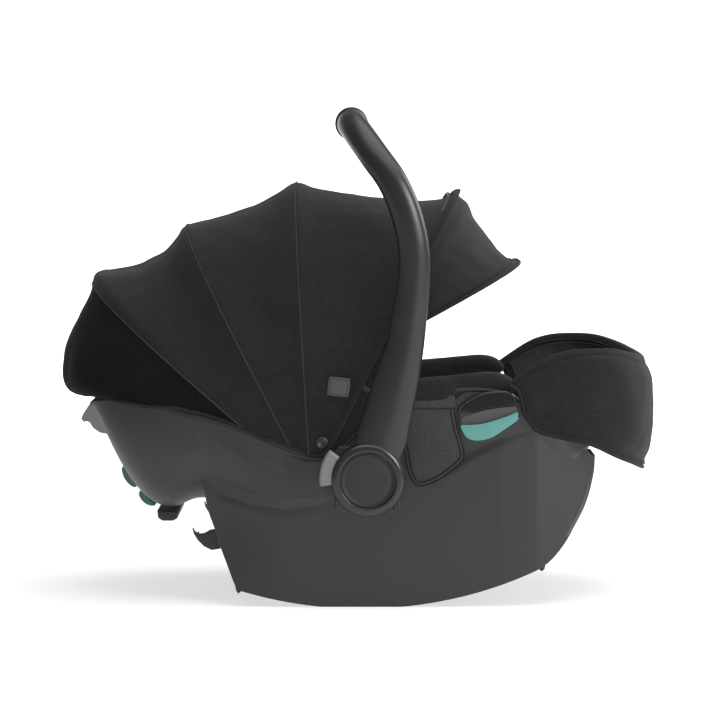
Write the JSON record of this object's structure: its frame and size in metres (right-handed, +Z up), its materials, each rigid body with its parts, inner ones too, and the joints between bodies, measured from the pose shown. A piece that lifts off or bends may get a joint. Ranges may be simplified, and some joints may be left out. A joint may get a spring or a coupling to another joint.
{
  "type": "infant_car_seat",
  "caption": "Rear-facing infant carrier: moulded rocking shell, turning carry handle, folding canopy with visor, foot cover, padded harness seat and belt guides",
  "frame": {"origin": "On the floor under the middle of the bounding box, the seat standing upright on its rockers with the handle in its carrying position.", "axes": "+Z up, +X towards the foot end, -X towards the head end, +Y towards the seated child's left."},
  "size_m": [0.6958, 0.4386, 0.5661],
  "materials": {
    "shell_plastic": "charcoal polypropylene, fine grain, satin",
    "white_foam": "moulded white foam beads",
    "knit_fabric": "black melange knit over thin foam",
    "lining_fabric": "plain black lining",
    "webbing": "woven black webbing",
    "black_plastic": "moulded black plastic",
    "red_plastic": "red push button",
    "grey_plastic": "mid-grey satin plastic",
    "steel": "plated steel",
    "gloss_plastic": "polished black plastic",
    "teal_plastic": "teal satin plastic",
    "green_plastic": "dark green satin plastic",
    "handle_plastic": "near-black satin plastic",
    "grip_plastic": "near-black soft-touch sleeve",
    "cap_plastic": "near-black matt cap"
  },
  "bodies": {
    "seat_shell": {"outer_shell": "shell_plastic", "foam_liner": "white_foam", "seat_cover": "knit_fabric", "foot_cover": "knit_fabric", "body_insert": "knit_fabric", "head_pad": "knit_fabric", "bolster_left": "knit_fabric", "bolster_right": "knit_fabric", "side_flap_left": "knit_fabric", "side_flap_right": "knit_fabric", "shoulder_pad_left": "knit_fabric", "shoulder_pad_right": "knit_fabric", "canopy_fabric_back": "knit_fabric", "foot_cover_floor": "lining_fabric", "harness_strap_left": "webbing", "harness_strap_right": "webbing", "crotch_strap": "webbing", "adjuster_strap": "webbing", "buckle_body": "black_plastic", "adjuster_housing": "black_plastic", "rear_bumper": "black_plastic", "latch_bracket": "black_plastic", "canopy_pin_left": "black_plastic", "canopy_pin_right": "black_plastic", "buckle_tongue": "steel", "front_anchor_bar": "steel", "rear_anchor_bar": "steel", "pivot_pin_left": "steel", "pivot_pin_right": "steel", "belt_guide_left": "gloss_plastic", "belt_guide_right": "gloss_plastic", "belt_guide_lip_left": "teal_plastic", "belt_guide_lip_right": "teal_plastic", "rear_belt_guide_upper": "green_plastic", "rear_belt_guide_lower": "green_plastic"},
    "carry_handle": {"handle_arm_left": "handle_plastic", "handle_arm_right": "handle_plastic", "handle_crossbar": "steel", "handle_grip": "grip_plastic", "hub_cap_left": "cap_plastic", "hub_cap_right": "cap_plastic", "lock_gear_left": "grey_plastic", "lock_gear_right": "grey_plastic", "hub_spring_left": "steel", "hub_spring_right": "steel"},
    "button_left": {"release_button_left": "grey_plastic"},
    "button_right": {"release_button_right": "grey_plastic"},
    "canopy_bow_1": {"bow_1": "black_plastic", "canopy_fabric_rear": "knit_fabric"},
    "canopy_bow_2": {"bow_2": "black_plastic", "canopy_fabric_middle": "knit_fabric"},
    "canopy_bow_3": {"bow_3": "black_plastic", "canopy_fabric_front": "knit_fabric"},
    "canopy_front": {"front_bow": "black_plastic", "visor_fabric": "knit_fabric"},
    "visor": {"visor_wire": "black_plastic"},
    "rear_release": {"release_lever": "shell_plastic"},
    "base_latch": {"latch_hooks": "black_plastic"},
    "buckle_press": {"buckle_button": "red_plastic"},
    "adjuster_press": {"adjuster_button": "grey_plastic"}
  },
  "joints": [
    {"name": "handle_pivot", "type": "hinge", "parent": "seat_shell", "child": "carry_handle", "pos_m": [0.009, 0, 0.147], "axis": [0, 1, 0], "range_deg": [-105, 0]},
    {"name": "release_press_left", "type": "slide", "parent": "carry_handle", "child": "button_left", "axis": [0.9659, 0, -0.2588], "range_m": [0, 0.005], "stiffness_N_per_m": 600},
    {"name": "release_press_right", "type": "slide", "parent": "carry_handle", "child": "button_right", "axis": [0.9659, 0, -0.2588], "range_m": [0, 0.005], "stiffness_N_per_m": 600},
    {"name": "bow_1_fold", "type": "hinge", "parent": "seat_shell", "child": "canopy_bow_1", "pos_m": [-0.056, 0, 0.138], "axis": [0, 1, 0], "range_deg": [-4, 0], "deforming": ["canopy_fabric_back"]},
    {"name": "bow_2_fold", "type": "hinge", "parent": "canopy_bow_1", "child": "canopy_bow_2", "pos_m": [-0.056, 0, 0.138], "axis": [0, 1, 0], "range_deg": [-16, 0], "deforming": ["canopy_fabric_rear"]},
    {"name": "bow_3_fold", "type": "hinge", "parent": "canopy_bow_2", "child": "canopy_bow_3", "pos_m": [-0.056, 0, 0.138], "axis": [0, 1, 0], "range_deg": [-18, 0], "deforming": ["canopy_fabric_middle"]},
    {"name": "canopy_fold", "type": "hinge", "parent": "canopy_bow_3", "child": "canopy_front", "pos_m": [-0.056, 0, 0.138], "axis": [0, 1, 0], "range_deg": [-23.5, 0], "deforming": ["canopy_fabric_front"]},
    {"name": "visor_fold", "type": "hinge", "parent": "canopy_front", "child": "visor", "pos_m": [0.01787, 0, 0.29499], "axis": [0, 1, 0], "range_deg": [-28, 0], "deforming": ["visor_fabric"]},
    {"name": "rear_release_pull", "type": "slide", "parent": "seat_shell", "child": "rear_release", "axis": [-0.3787, 0, 0.9255], "range_m": [0, 0.0055], "stiffness_N_per_m": 900},
    {"name": "base_latch_turn", "type": "hinge", "parent": "seat_shell", "child": "base_latch", "pos_m": [-0.15, 0, 0.076], "axis": [0, 1, 0], "range_deg": [-15, 0]},
    {"name": "buckle_button_press", "type": "slide", "parent": "seat_shell", "child": "buckle_press", "axis": [0.001, 0, -1], "range_m": [0, 0.0035], "stiffness_N_per_m": 600},
    {"name": "adjuster_button_press", "type": "slide", "parent": "seat_shell", "child": "adjuster_press", "axis": [0.4144, 0, -0.9101], "range_m": [0, 0.0035], "stiffness_N_per_m": 600}
  ],
  "couplings": [
    {"joint": "bow_1_fold", "follows": "canopy_fold", "ratio": 0.1702},
    {"joint": "bow_2_fold", "follows": "canopy_fold", "ratio": 0.6808},
    {"joint": "bow_3_fold", "follows": "canopy_fold", "ratio": 0.7659},
    {"joint": "base_latch_turn", "follows": "rear_release_pull", "rad_per_m": -47}
  ]
}
